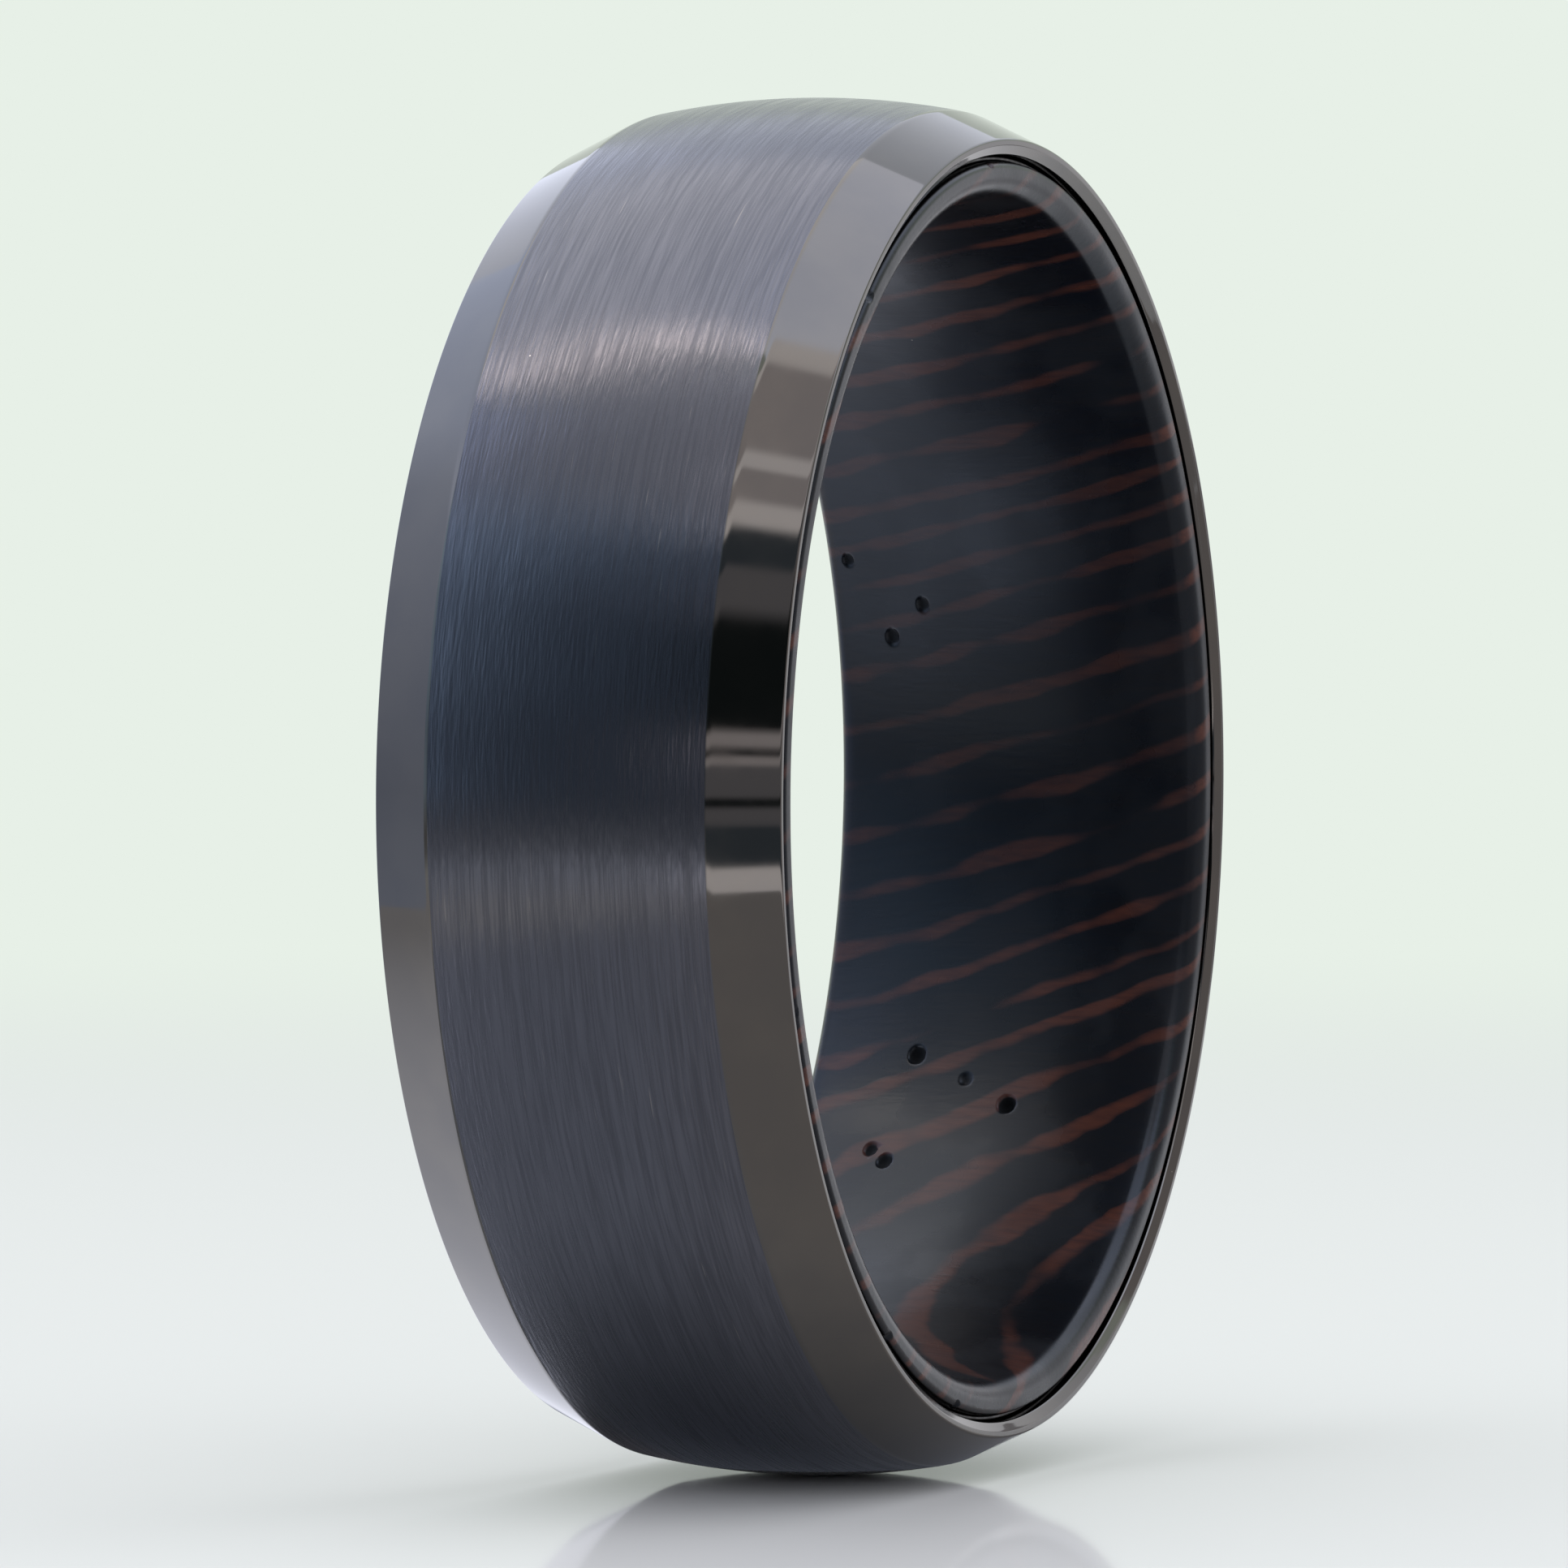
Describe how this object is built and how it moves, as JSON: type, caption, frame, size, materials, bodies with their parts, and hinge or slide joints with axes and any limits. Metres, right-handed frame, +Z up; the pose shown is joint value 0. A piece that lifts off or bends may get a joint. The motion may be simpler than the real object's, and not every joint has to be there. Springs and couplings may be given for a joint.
{
  "type": "wedding band",
  "caption": "Domed black metal finger ring with a brushed face, polished bevels and flat end lands, lined with a glued comfort-fit dark wood sleeve.",
  "frame": {"origin": "centre of the band, on its axis and midway between its two ends", "axes": "+Y along the band's axis, +Z up as the band stands on its edge"},
  "size_m": [0.0232, 0.007, 0.0232],
  "materials": {
    "black_metal": "black plated; fine brushing round the dome, mirror polish on the bevels and end lands",
    "adhesive": "cured dark adhesive",
    "dark_wood": "turned, sealed and polished, with reddish brown streaks and open pores"
  },
  "bodies": {
    "root": {"outer_band": "black_metal", "bond_film": "adhesive", "wood_sleeve": "dark_wood"}
  },
  "joints": []
}
